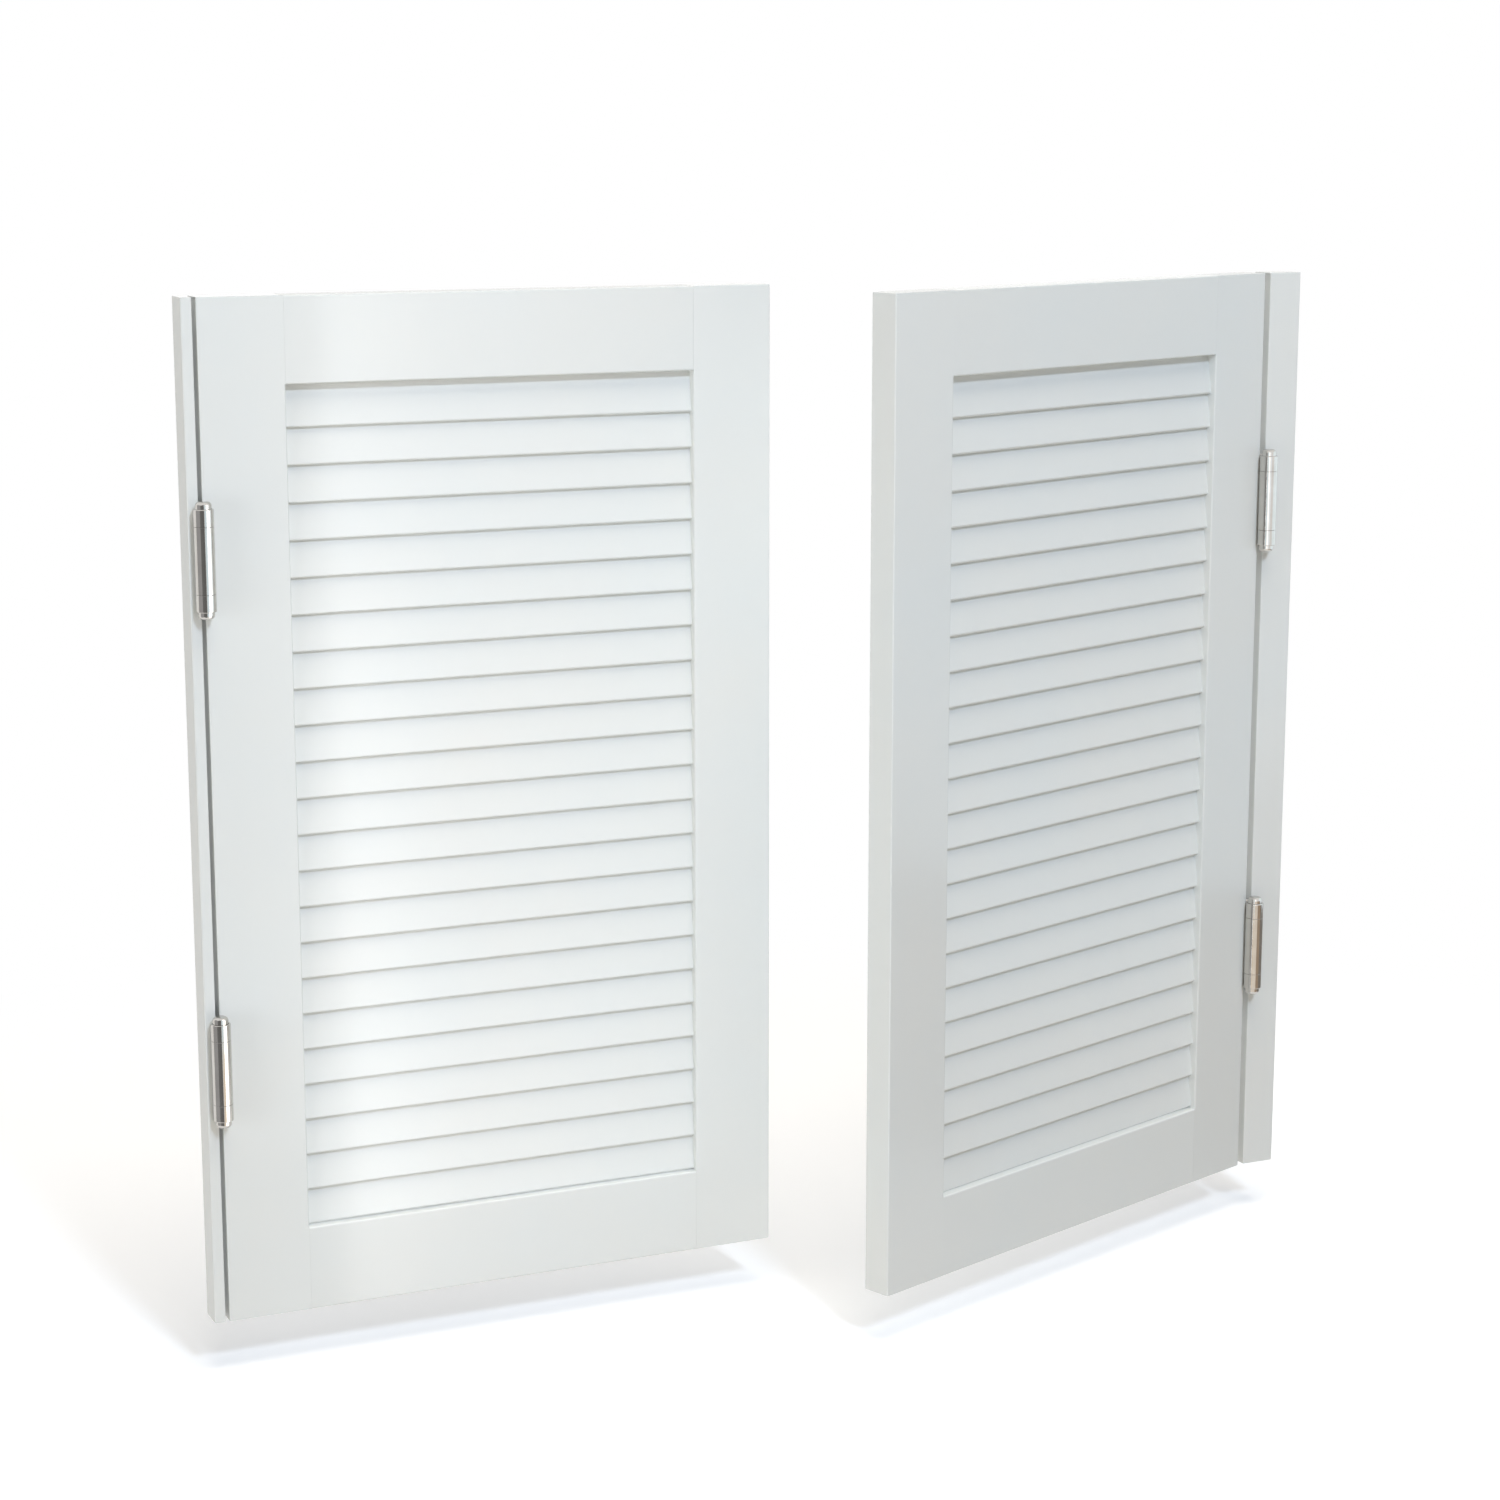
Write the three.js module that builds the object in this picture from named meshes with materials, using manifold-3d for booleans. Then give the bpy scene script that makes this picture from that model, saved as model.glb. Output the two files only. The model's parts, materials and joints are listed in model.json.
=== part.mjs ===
// Cafe swinging doors: a pair of white louvred leaves, each hung from a jamb strip on two
// double-acting spring hinges. The left leaf is shut and the right leaf stands ajar.
//
// Millimetres. X runs along the doorway from left to right, Y away from the viewer, Z up.
// The origin is the middle of the face that the left jamb strip turns to the wall.
//
// Every piece of one side is drawn in hinge coordinates: x = 0 is the middle of the gap between
// strip and leaf and x grows into the leaf, y = 0 is the middle of the thickness, z = 0 is half
// height. The right side is the left one mirrored.

import * as THREE from "three";
import { mergeVertices } from "three/addons/utils/BufferGeometryUtils.js";
import Module from "manifold-3d";

const wasm = await Module();
wasm.setup();

// Doorway and leaves
const LEAF_HEIGHT = 914.4;
const LEAF_WIDTH = 533.4;
const THICKNESS = 28.6;
const CENTRE_GAP = 3.2; // between the two shut leaves
const LEFT_STRIP_WIDTH = 9.9;
const RIGHT_STRIP_WIDTH = 34.9;
const RIGHT_LEAF_OPEN_DEG = 20.5; // swung towards the viewer
const ARRIS = 1.2; // eased long edges of the woodwork

// Frame of a leaf
const STILE_WIDTH = 76.2;
const TOP_RAIL_HEIGHT = 76.2;
const BOTTOM_RAIL_HEIGHT = 77.8;
const STICKING = 1.6; // eased edge round the louvred opening
const JOINT_ARRIS = 0.3; // stile edge where a rail butts against it
const TENON_LENGTH = 25;
const TENON_THICKNESS = 9.5;
const TENON_SHOULDER = 12; // rail height left above and below the tenon

// Louvre slats
const SLAT_COUNT = 23;
const SLAT_WIDTH = 37;
const SLAT_THICKNESS = 4.2;
const SLAT_TILT_DEG = 8.1; // from upright, lower edge forward
const SLAT_RECESS = 5; // nose behind the front face
const LAST_NOSE_ABOVE_RAIL = 1.5;
const FIRST_NOSE_BELOW_RAIL = 37.4;
const HOUSING_DEPTH = 6.5; // slots in the hinge stile that take the slat ends

// Spring hinges
const HINGE_FROM_TOP = 223; // centre of the upper hinge below the leaf's top
const HINGE_FROM_BOTTOM = 236.5; // centre of the lower hinge above the leaf's bottom
const HINGE_GAP = 3.6; // between strip and leaf
const BARREL_RADIUS = 8.75;
const BARREL_WALL = 1.4;
const BARREL_STANDOFF = 9.3; // barrel axis proud of the leaf's face
const BARREL_HEIGHT = 89; // without the tips
const TIP_HEIGHT = 6.3; // narrower ends that stand out of a barrel
const TIP_CROWN = 3.6; // radius of a tip's rounded rim
const KNUCKLE_HEIGHT = 15.2;
const PLATE_THICKNESS = 0.8;
const PLATE_REACH = 12; // from the middle of the gap to a flange's far edge
const PLATE_PASSES = 1.1; // a flange's air to the tube of the web
const WEB_REACH = 13.6; // half width of the web beside the knuckles
const PIN_RADIUS = 3;
const PIN_FOOT_HEIGHT = 11; // stout foot of the pin in the lower knuckle
const COLLAR_HEIGHT = 9;
const CAP_SKIRT = 4; // cap's reach down into the upper knuckle
const SCREW_HOLE_RADIUS = 2.2;
const SCREW_ROWS = [-0.36, -0.12, 0.12, 0.36]; // share of the barrel height
const SCREW_STAGGER = 5; // holes alternate this far to either side
const SPRING_WIRE_RADIUS = 1;
const SPRING_COIL_RADIUS = 5.2;
const SPRING_HEIGHT = 54;
const SPRING_CURLS = 6;
const SPRING_STEPS_PER_CURL = 8;
const SPRING_SIDES = 4;

// Fits and facets
const CLEARANCE = 0.3;
const KNUCKLE_CLEARANCE = 0.4;
const OVERSHOOT = 1; // cutters run this far past the face they open
const BARREL_FACETS = 16;
const NOSE_DIVISIONS = 2; // an arc gets twice as many facets
const HOLE_DIVISIONS = 4;
const TIP_DIVISIONS = 3;
const INNER_FACETS = 12;

// Worked out
const FACE = THICKNESS / 2;
const HALF_HEIGHT = LEAF_HEIGHT / 2;
const HALF_GAP = HINGE_GAP / 2;
const BARREL_AXIS = FACE + BARREL_STANDOFF;
const BORE_RADIUS = BARREL_RADIUS - BARREL_WALL;
const TIP_RADIUS = BORE_RADIUS - CLEARANCE;
const BARREL_TOP = BARREL_HEIGHT / 2;
const TUBE_TOP = BARREL_TOP - KNUCKLE_HEIGHT - KNUCKLE_CLEARANCE;
const PLATE_OFFSET = PLATE_THICKNESS + (HINGE_GAP - 3 * PLATE_THICKNESS) / 4;
const PLATE_ROOT = BARREL_AXIS - BARREL_RADIUS + 0.75 * BARREL_WALL; // inside the barrel's wall
const UPPER_HINGE = HALF_HEIGHT - HINGE_FROM_TOP;
const LOWER_HINGE = HINGE_FROM_BOTTOM - HALF_HEIGHT;
const STILE_INNER = HALF_GAP + STILE_WIDTH;
const FREE_EDGE = HALF_GAP + LEAF_WIDTH;
const FREE_STILE_INNER = FREE_EDGE - STILE_WIDTH;
const OPENING_TOP = HALF_HEIGHT - TOP_RAIL_HEIGHT;
const OPENING_BOTTOM = -HALF_HEIGHT + BOTTOM_RAIL_HEIGHT;
const FIRST_NOSE = OPENING_TOP - FIRST_NOSE_BELOW_RAIL;
const LAST_NOSE = OPENING_BOTTOM + LAST_NOSE_ABOVE_RAIL;
const SLAT_PITCH = (FIRST_NOSE - LAST_NOSE) / (SLAT_COUNT - 1);
const LEFT_HINGE_X = LEFT_STRIP_WIDTH + HALF_GAP;
const RIGHT_HINGE_X = LEFT_HINGE_X + 2 * FREE_EDGE + CENTRE_GAP;

const paint = new THREE.MeshStandardMaterial({ color: 0xe4e8e6, roughness: 0.45, metalness: 0 });
const nickel = new THREE.MeshStandardMaterial({ color: 0xc9c4ba, roughness: 0.25, metalness: 1 });
const springSteel = new THREE.MeshStandardMaterial({ color: 0x77777a, roughness: 0.4, metalness: 1 });

// Solids and booleans

function solidOf(geometry) {
  const bare = geometry.clone();
  bare.deleteAttribute("normal");
  bare.deleteAttribute("uv");
  const merged = mergeVertices(bare, 1e-4);
  return new wasm.Manifold(
    new wasm.Mesh({
      numProp: 3,
      vertProperties: new Float32Array(merged.attributes.position.array),
      triVerts: new Uint32Array(merged.index.array),
    }),
  );
}

function geometryOf(solid) {
  const mesh = solid.getMesh();
  const geometry = new THREE.BufferGeometry();
  geometry.setAttribute("position", new THREE.BufferAttribute(mesh.vertProperties, 3));
  geometry.setIndex(new THREE.BufferAttribute(mesh.triVerts, 1));
  return geometry;
}

function join(first, ...others) {
  return geometryOf(others.reduce((sum, piece) => sum.add(solidOf(piece)), solidOf(first)));
}

function cut(body, ...tools) {
  return geometryOf(tools.reduce((rest, tool) => rest.subtract(solidOf(tool)), solidOf(body)));
}

// Basic forms

function block(low, high) {
  const size = high.map((value, axis) => value - low[axis]);
  const centre = high.map((value, axis) => (value + low[axis]) / 2);
  return new THREE.BoxGeometry(...size).translate(...centre);
}

function eased(x0, x1, y0, y1, ease) {
  const [a, b, c, d] = ease; // at (x0, y0), (x1, y0), (x1, y1), (x0, y1)
  const shape = new THREE.Shape();
  shape.moveTo(x0 + a, y0).lineTo(x1 - b, y0).lineTo(x1, y0 + b);
  shape.lineTo(x1, y1 - c).lineTo(x1 - c, y1).lineTo(x0 + d, y1);
  shape.lineTo(x0, y1 - d).lineTo(x0, y0 + a);
  return shape;
}

function upright(shape, z0, z1) {
  return new THREE.ExtrudeGeometry(shape, { depth: z1 - z0, bevelEnabled: false }).translate(0, 0, z0);
}

// Extrudes a section drawn in (y, z) along x.
function along(shape, x0, x1, curveSegments = NOSE_DIVISIONS) {
  const options = { depth: x1 - x0, bevelEnabled: false, curveSegments };
  const geometry = new THREE.ExtrudeGeometry(shape, options);
  const turn = new THREE.Matrix4().makeBasis(
    new THREE.Vector3(0, 1, 0),
    new THREE.Vector3(0, 0, 1),
    new THREE.Vector3(1, 0, 0),
  );
  return geometry.applyMatrix4(turn).translate(x0, 0, 0);
}

// Turns a profile of [radius, height] points about the z axis.
function revolve(profile, facets) {
  const points = profile.map(([radius, height]) => new THREE.Vector2(radius, height));
  return new THREE.LatheGeometry(points, facets).rotateX(Math.PI / 2);
}

function tube(z0, z1) {
  const ring = [
    [BORE_RADIUS, z0],
    [BARREL_RADIUS, z0],
    [BARREL_RADIUS, z1],
    [BORE_RADIUS, z1],
    [BORE_RADIUS, z0],
  ];
  return revolve(ring, BARREL_FACETS);
}

// Woodwork

function jambStrip(width) {
  const section = eased(-HALF_GAP - width, -HALF_GAP, -FACE, FACE, [ARRIS, ARRIS, ARRIS, ARRIS]);
  return upright(section, -HALF_HEIGHT, HALF_HEIGHT);
}

function mortise(x0, x1, z0, z1) {
  const half = TENON_THICKNESS / 2 + CLEARANCE;
  return block([x0, -half, z0 + TENON_SHOULDER - CLEARANCE], [x1, half, z1 - TENON_SHOULDER + CLEARANCE]);
}

function railMortises(x0, x1) {
  return [
    mortise(x0, x1, OPENING_TOP, HALF_HEIGHT),
    mortise(x0, x1, -HALF_HEIGHT, OPENING_BOTTOM),
  ];
}

function rail(z0, z1, openingAbove) {
  const low = openingAbove ? ARRIS : STICKING;
  const high = openingAbove ? STICKING : ARRIS;
  const section = eased(-FACE, FACE, z0, z1, [low, low, high, high]);
  const beam = along(section, STILE_INNER + CLEARANCE, FREE_STILE_INNER - CLEARANCE);
  const half = TENON_THICKNESS / 2;
  const tenons = block(
    [STILE_INNER - TENON_LENGTH, -half, z0 + TENON_SHOULDER],
    [FREE_STILE_INNER + TENON_LENGTH, half, z1 - TENON_SHOULDER],
  );
  return join(beam, tenons);
}

// Section of slat number index, grown by a margin where it is used to cut a housing.
function slatSection(index, margin = 0) {
  const tilt = THREE.MathUtils.degToRad(SLAT_TILT_DEG);
  const half = SLAT_THICKNESS / 2 + margin;
  const nose = new THREE.Vector2(-FACE + SLAT_RECESS, FIRST_NOSE - index * SLAT_PITCH);
  const up = new THREE.Vector2(Math.sin(tilt), Math.cos(tilt));
  const back = new THREE.Vector2(Math.cos(tilt), -Math.sin(tilt));
  const centre = nose.addScaledVector(back, SLAT_THICKNESS / 2).addScaledVector(up, SLAT_THICKNESS / 2);
  const top = centre.clone().addScaledVector(up, SLAT_WIDTH - SLAT_THICKNESS / 2 + margin);
  const shape = new THREE.Shape();
  shape.moveTo(top.x + back.x * half, top.y + back.y * half);
  shape.lineTo(top.x - back.x * half, top.y - back.y * half);
  shape.absarc(centre.x, centre.y, half, Math.PI - tilt, 2 * Math.PI - tilt);
  return shape;
}

// Cutters that ease a stile's two edges beside the opening. The side sign is +1 where the opening
// lies towards +x.
function openingEdges(x, side) {
  return [-1, 1].map((face) => {
    const far = STICKING + OVERSHOOT;
    const corners = [
      new THREE.Vector2(x - side * far, face * (FACE + OVERSHOOT)),
      new THREE.Vector2(x + side * OVERSHOOT, face * (FACE - far)),
      new THREE.Vector2(x + side * OVERSHOOT, face * (FACE + OVERSHOOT)),
    ];
    return upright(new THREE.Shape(corners), OPENING_BOTTOM, OPENING_TOP);
  });
}

function hingeStile() {
  const ease = [ARRIS, JOINT_ARRIS, JOINT_ARRIS, ARRIS];
  const post = upright(eased(HALF_GAP, STILE_INNER, -FACE, FACE, ease), -HALF_HEIGHT, HALF_HEIGHT);
  const tenonEnd = STILE_INNER - TENON_LENGTH - CLEARANCE;
  const housings = Array.from({ length: SLAT_COUNT }, (_, index) =>
    along(slatSection(index, CLEARANCE), STILE_INNER - HOUSING_DEPTH, STILE_INNER + OVERSHOOT),
  );
  const mortises = railMortises(tenonEnd, STILE_INNER + OVERSHOOT);
  return cut(post, ...mortises, ...openingEdges(STILE_INNER, 1), ...housings);
}

// The free stile carries the slats, whose other ends stand in the hinge stile's housings.
function slattedFreeStile() {
  const ease = [JOINT_ARRIS, ARRIS, ARRIS, JOINT_ARRIS];
  const post = upright(eased(FREE_STILE_INNER, FREE_EDGE, -FACE, FACE, ease), -HALF_HEIGHT, HALF_HEIGHT);
  const tenonEnd = FREE_STILE_INNER + TENON_LENGTH + CLEARANCE;
  const mortises = railMortises(FREE_STILE_INNER - OVERSHOOT, tenonEnd);
  const worked = cut(post, ...mortises, ...openingEdges(FREE_STILE_INNER, -1));
  const slatStart = STILE_INNER - HOUSING_DEPTH + CLEARANCE;
  const slats = Array.from({ length: SLAT_COUNT }, (_, index) =>
    along(slatSection(index), slatStart, FREE_STILE_INNER + HOUSING_DEPTH),
  );
  return join(worked, ...slats);
}

// Double-acting spring hinge. Heights are counted from the hinge's own middle.

function knuckles(axisY) {
  return [
    tube(TUBE_TOP + KNUCKLE_CLEARANCE, BARREL_TOP).translate(0, axisY, 0),
    tube(-BARREL_TOP, -TUBE_TOP - KNUCKLE_CLEARANCE).translate(0, axisY, 0),
  ];
}

// A plate that reaches its barrel only beside the two knuckles. The toward sign is +1 for a barrel
// behind the doors and -1 for one in front of them.
function flange(plateX, toward) {
  const bare = BARREL_AXIS - BARREL_RADIUS - PLATE_PASSES;
  const outline = [
    [-PLATE_REACH, -BARREL_TOP],
    [PLATE_ROOT, -BARREL_TOP],
    [PLATE_ROOT, -TUBE_TOP - KNUCKLE_CLEARANCE],
    [bare, -TUBE_TOP - KNUCKLE_CLEARANCE],
    [bare, TUBE_TOP + KNUCKLE_CLEARANCE],
    [PLATE_ROOT, TUBE_TOP + KNUCKLE_CLEARANCE],
    [PLATE_ROOT, BARREL_TOP],
    [-PLATE_REACH, BARREL_TOP],
  ];
  const shape = new THREE.Shape(outline.map(([y, z]) => new THREE.Vector2(toward * y, z)));
  SCREW_ROWS.forEach((share, row) => {
    const side = row % 2 ? SCREW_STAGGER : -SCREW_STAGGER;
    const hole = new THREE.Path();
    shape.holes.push(hole.absarc(side, share * BARREL_HEIGHT, SCREW_HOLE_RADIUS, 0, 2 * Math.PI));
  });
  const plate = along(shape, plateX - PLATE_THICKNESS / 2, plateX + PLATE_THICKNESS / 2, HOLE_DIVISIONS);
  return join(plate, ...knuckles(toward * BARREL_AXIS));
}

// One plate between the two barrels with the middle tube of each.
function centreWeb() {
  const shape = new THREE.Shape();
  shape.moveTo(-WEB_REACH, -BARREL_TOP).lineTo(WEB_REACH, -BARREL_TOP);
  shape.lineTo(WEB_REACH, -TUBE_TOP).lineTo(PLATE_ROOT, -TUBE_TOP);
  shape.lineTo(PLATE_ROOT, TUBE_TOP).lineTo(WEB_REACH, TUBE_TOP);
  shape.lineTo(WEB_REACH, BARREL_TOP).lineTo(-WEB_REACH, BARREL_TOP);
  shape.lineTo(-WEB_REACH, TUBE_TOP).lineTo(-PLATE_ROOT, TUBE_TOP);
  shape.lineTo(-PLATE_ROOT, -TUBE_TOP).lineTo(-WEB_REACH, -TUBE_TOP);
  const plate = along(shape, -PLATE_THICKNESS / 2, PLATE_THICKNESS / 2);
  const frontTube = tube(-TUBE_TOP, TUBE_TOP).translate(0, -BARREL_AXIS, 0);
  const rearTube = tube(-TUBE_TOP, TUBE_TOP).translate(0, BARREL_AXIS, 0);
  return join(plate, frontTube, rearTube);
}

// Rounded end of a tip from its side to its axis, as [radius, height] points for an upper tip.
function tip() {
  const end = BARREL_TOP + TIP_HEIGHT;
  const profile = [];
  for (let step = 0; step <= TIP_DIVISIONS; step += 1) {
    const turn = (Math.PI / 2) * (step / TIP_DIVISIONS);
    const inward = TIP_CROWN * (1 - Math.cos(turn));
    const below = TIP_CROWN * (1 - Math.sin(turn));
    profile.push([TIP_RADIUS - inward, end - below]);
  }
  return [...profile, [0, end]];
}

// Pin with a tip under the barrel and a stout foot in the lower knuckle.
function pin() {
  const lowerTip = tip().map(([radius, height]) => [radius, -height]);
  const profile = [
    ...lowerTip.reverse(),
    [TIP_RADIUS, -BARREL_TOP + PIN_FOOT_HEIGHT],
    [PIN_RADIUS, -BARREL_TOP + PIN_FOOT_HEIGHT],
    [PIN_RADIUS, BARREL_TOP],
    [0, BARREL_TOP],
  ];
  return revolve(profile, INNER_FACETS);
}

// Cap on top of the barrel, with a short skirt down into the upper knuckle round the pin's end.
function cap() {
  const skirtEnd = BARREL_TOP - CAP_SKIRT;
  const socketTop = BARREL_TOP + CLEARANCE;
  const socket = PIN_RADIUS + CLEARANCE;
  const profile = [
    [0, socketTop],
    [socket, socketTop],
    [socket, skirtEnd],
    [TIP_RADIUS, skirtEnd],
    ...tip(),
  ];
  return revolve(profile, INNER_FACETS);
}

// Ring round the pin in the upper knuckle that winds up the spring.
function collar() {
  const inner = PIN_RADIUS + CLEARANCE;
  const outer = TIP_RADIUS;
  const low = TUBE_TOP + KNUCKLE_CLEARANCE;
  const high = low + COLLAR_HEIGHT;
  const ring = [
    [inner, low],
    [outer, low],
    [outer, high],
    [inner, high],
    [inner, low],
  ];
  return revolve(ring, INNER_FACETS);
}

// Torsion spring: one unbroken tube wound round the pin.
function spring() {
  const steps = SPRING_CURLS * SPRING_STEPS_PER_CURL;
  const sides = SPRING_SIDES;
  const points = [];
  for (let step = 0; step <= steps; step += 1) {
    const turn = (2 * Math.PI * step) / SPRING_STEPS_PER_CURL;
    const height = SPRING_HEIGHT * (step / steps - 0.5);
    for (let side = 0; side < sides; side += 1) {
      const angle = (2 * Math.PI * side) / sides;
      const radius = SPRING_COIL_RADIUS + SPRING_WIRE_RADIUS * Math.cos(angle);
      const z = height + SPRING_WIRE_RADIUS * Math.sin(angle);
      points.push(radius * Math.cos(turn), radius * Math.sin(turn), z);
    }
  }
  const faces = [];
  for (let step = 0; step < steps; step += 1) {
    for (let side = 0; side < sides; side += 1) {
      const a = step * sides + side;
      const b = step * sides + ((side + 1) % sides);
      faces.push(a, b + sides, b, a, a + sides, b + sides);
    }
  }
  const last = steps * sides;
  for (let side = 1; side < sides - 1; side += 1) {
    faces.push(0, side, side + 1, last, last + side + 1, last + side);
  }
  const geometry = new THREE.BufferGeometry();
  geometry.setAttribute("position", new THREE.Float32BufferAttribute(points, 3));
  return geometry.setIndex(faces);
}

// Assembly

function mirrored(geometry) {
  const flipped = geometry.index ? geometry.toNonIndexed() : geometry.clone();
  const position = flipped.attributes.position;
  const kept = new THREE.Vector3();
  const swapped = new THREE.Vector3();
  flipped.scale(-1, 1, 1);
  for (let corner = 0; corner < position.count; corner += 3) {
    kept.fromBufferAttribute(position, corner + 1);
    swapped.fromBufferAttribute(position, corner + 2);
    position.setXYZ(corner + 1, swapped.x, swapped.y, swapped.z);
    position.setXYZ(corner + 2, kept.x, kept.y, kept.z);
  }
  return flipped;
}

function doorSide(side, hingeX, stripWidth, openDegrees) {
  const right = side === "right";
  const still = new THREE.Group(); // strip, jamb flanges and webs
  still.position.set(hingeX, 0, 0);
  const leaf = new THREE.Group(); // all that swings on the front barrels
  leaf.position.set(hingeX, -BARREL_AXIS, 0);
  leaf.rotation.z = THREE.MathUtils.degToRad(openDegrees) * (right ? 1 : -1);

  const add = (group, name, geometry, material, shift = [0, 0, 0]) => {
    const placed = geometry.clone().translate(...shift);
    if (group === leaf) {
      placed.translate(0, BARREL_AXIS, 0);
    }
    const handed = right ? mirrored(placed) : placed;
    handed.deleteAttribute("normal");
    handed.computeVertexNormals();
    const mesh = new THREE.Mesh(handed, material);
    mesh.name = side + "_" + name;
    group.add(mesh);
  };

  add(still, "jamb_strip", jambStrip(stripWidth), paint);
  add(leaf, "hinge_stile", hingeStile(), paint);
  add(leaf, "slatted_free_stile", slattedFreeStile(), paint);
  add(leaf, "top_rail", rail(OPENING_TOP, HALF_HEIGHT, false), paint);
  add(leaf, "bottom_rail", rail(-HALF_HEIGHT, OPENING_BOTTOM, true), paint);

  for (const [level, z] of [["upper", UPPER_HINGE], ["lower", LOWER_HINGE]]) {
    const front = [0, -BARREL_AXIS, z];
    const rear = [0, BARREL_AXIS, z];
    add(still, level + "_jamb_flange", flange(-PLATE_OFFSET, 1), nickel, [0, 0, z]);
    add(still, level + "_centre_web", centreWeb(), nickel, [0, 0, z]);
    add(leaf, level + "_door_flange", flange(PLATE_OFFSET, -1), nickel, [0, 0, z]);
    add(still, level + "_front_spring", spring(), springSteel, front);
    add(still, level + "_rear_spring", spring(), springSteel, rear);
    add(leaf, level + "_front_pin", pin(), nickel, front);
    add(still, level + "_rear_pin", pin(), nickel, rear);
    add(leaf, level + "_front_cap", cap(), nickel, front);
    add(still, level + "_rear_cap", cap(), nickel, rear);
    add(leaf, level + "_front_collar", collar(), springSteel, front);
    add(still, level + "_rear_collar", collar(), springSteel, rear);
  }
  return new THREE.Group().add(still, leaf);
}

const doors = new THREE.Group();
doors.add(doorSide("left", LEFT_HINGE_X, LEFT_STRIP_WIDTH, 0));
doors.add(doorSide("right", RIGHT_HINGE_X, RIGHT_STRIP_WIDTH, RIGHT_LEAF_OPEN_DEG));

export default doors;
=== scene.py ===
"""Looks of a pair of cafe swinging doors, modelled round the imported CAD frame.

Two louvred leaves in white satin enamel hang from jamb strips on double-acting spring hinges. The
left leaf is shut and the right one stands ajar. Metres throughout, in the frame's own axes: X runs
along the doorway, Y away from the viewer and Z up.
"""

import json
import logging
import math
from collections.abc import Callable
from dataclasses import dataclass
from enum import Enum

import bmesh
import bpy
from mathutils import Matrix, Vector


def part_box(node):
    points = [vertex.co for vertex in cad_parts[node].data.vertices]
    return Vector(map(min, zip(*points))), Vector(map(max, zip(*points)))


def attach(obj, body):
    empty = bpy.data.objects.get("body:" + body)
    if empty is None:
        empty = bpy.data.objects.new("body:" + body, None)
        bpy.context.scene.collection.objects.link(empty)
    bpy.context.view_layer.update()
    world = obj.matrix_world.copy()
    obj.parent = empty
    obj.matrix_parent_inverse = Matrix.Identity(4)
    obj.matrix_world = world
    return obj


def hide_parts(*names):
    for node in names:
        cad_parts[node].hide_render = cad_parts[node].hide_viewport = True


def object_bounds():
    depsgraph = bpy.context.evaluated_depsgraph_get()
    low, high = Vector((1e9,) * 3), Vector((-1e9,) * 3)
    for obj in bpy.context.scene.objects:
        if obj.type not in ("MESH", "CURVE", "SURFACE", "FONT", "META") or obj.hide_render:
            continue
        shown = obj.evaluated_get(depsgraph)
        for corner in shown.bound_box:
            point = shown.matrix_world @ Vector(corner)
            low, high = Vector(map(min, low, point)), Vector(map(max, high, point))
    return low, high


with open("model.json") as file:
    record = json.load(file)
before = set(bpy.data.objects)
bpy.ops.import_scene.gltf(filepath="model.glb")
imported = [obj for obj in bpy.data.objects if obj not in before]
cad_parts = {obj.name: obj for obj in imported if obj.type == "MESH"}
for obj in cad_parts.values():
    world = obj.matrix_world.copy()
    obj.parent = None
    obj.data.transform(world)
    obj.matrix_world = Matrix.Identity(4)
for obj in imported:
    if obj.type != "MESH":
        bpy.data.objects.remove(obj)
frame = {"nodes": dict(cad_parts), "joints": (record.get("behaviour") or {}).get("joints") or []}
CAD_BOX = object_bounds()

LOG = logging.getLogger("cafe_doors")
MM = 0.001
TOUCH = 0.01 * MM  # points nearer than this count as one place
SMOOTH_BELOW = math.radians(35)  # edges that turn less than this are shaded round

Shape = bmesh.types.BMesh


class Side(Enum):
    """Which half of the doorway a piece belongs to."""

    LEFT = "left"
    RIGHT = "right"


class Level(Enum):
    """Height of a hinge on its leaf."""

    UPPER = "upper"
    LOWER = "lower"


class Barrel(Enum):
    """Which of a hinge's two barrels a piece belongs to, with the sign of its place in Y."""

    FRONT = -1
    REAR = 1


class Grain(Enum):
    """Direction in which a painted board was laid off."""

    UPRIGHT = "upright"
    ACROSS = "across"


class Slot(Enum):
    """Material slots of the record."""

    PAINT = "white_paint"
    NICKEL = "hinge_nickel"
    STEEL = "spring_steel"


# Colours and nodes


def linear(colour: str) -> tuple[float, float, float, float]:
    """Turn an sRGB hex colour into linear light.

    Args:
        colour: A colour such as "#E4E8E6".

    Returns:
        Linear red, green and blue, with an alpha of 1.
    """
    parts = [int(colour[start:start + 2], 16) / 255 for start in (1, 3, 5)]
    light = [p / 12.92 if p <= 0.04045 else ((p + 0.055) / 1.055) ** 2.4 for p in parts]
    return (*light, 1.0)


def feed(tree: bpy.types.NodeTree, node: bpy.types.Node, inputs: dict) -> None:
    """Set or link the inputs of a node.

    Args:
        tree: Node tree that holds the node.
        node: Node to feed.
        inputs: Input name or number, with a value or an output socket for each.
    """
    for key, value in inputs.items():
        if isinstance(value, bpy.types.NodeSocket):
            tree.links.new(value, node.inputs[key])
        else:
            node.inputs[key].default_value = value


def add_node(
    tree: bpy.types.NodeTree, kind: str, inputs: dict | None = None, **settings: object
) -> bpy.types.Node:
    """Add a node with its settings and links.

    Args:
        tree: Node tree to add to.
        kind: Blender's name for the kind of node.
        inputs: Values or output sockets for its inputs.
        settings: Properties of the node itself.

    Returns:
        The new node.
    """
    node = tree.nodes.new(kind)
    for name, value in settings.items():
        setattr(node, name, value)
    feed(tree, node, inputs or {})
    return node


# Finishes

MIX_A = 6  # the colour inputs and output of a Mix node, which share their names with others
MIX_B = 7
MIX_COLOUR = 2


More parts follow.
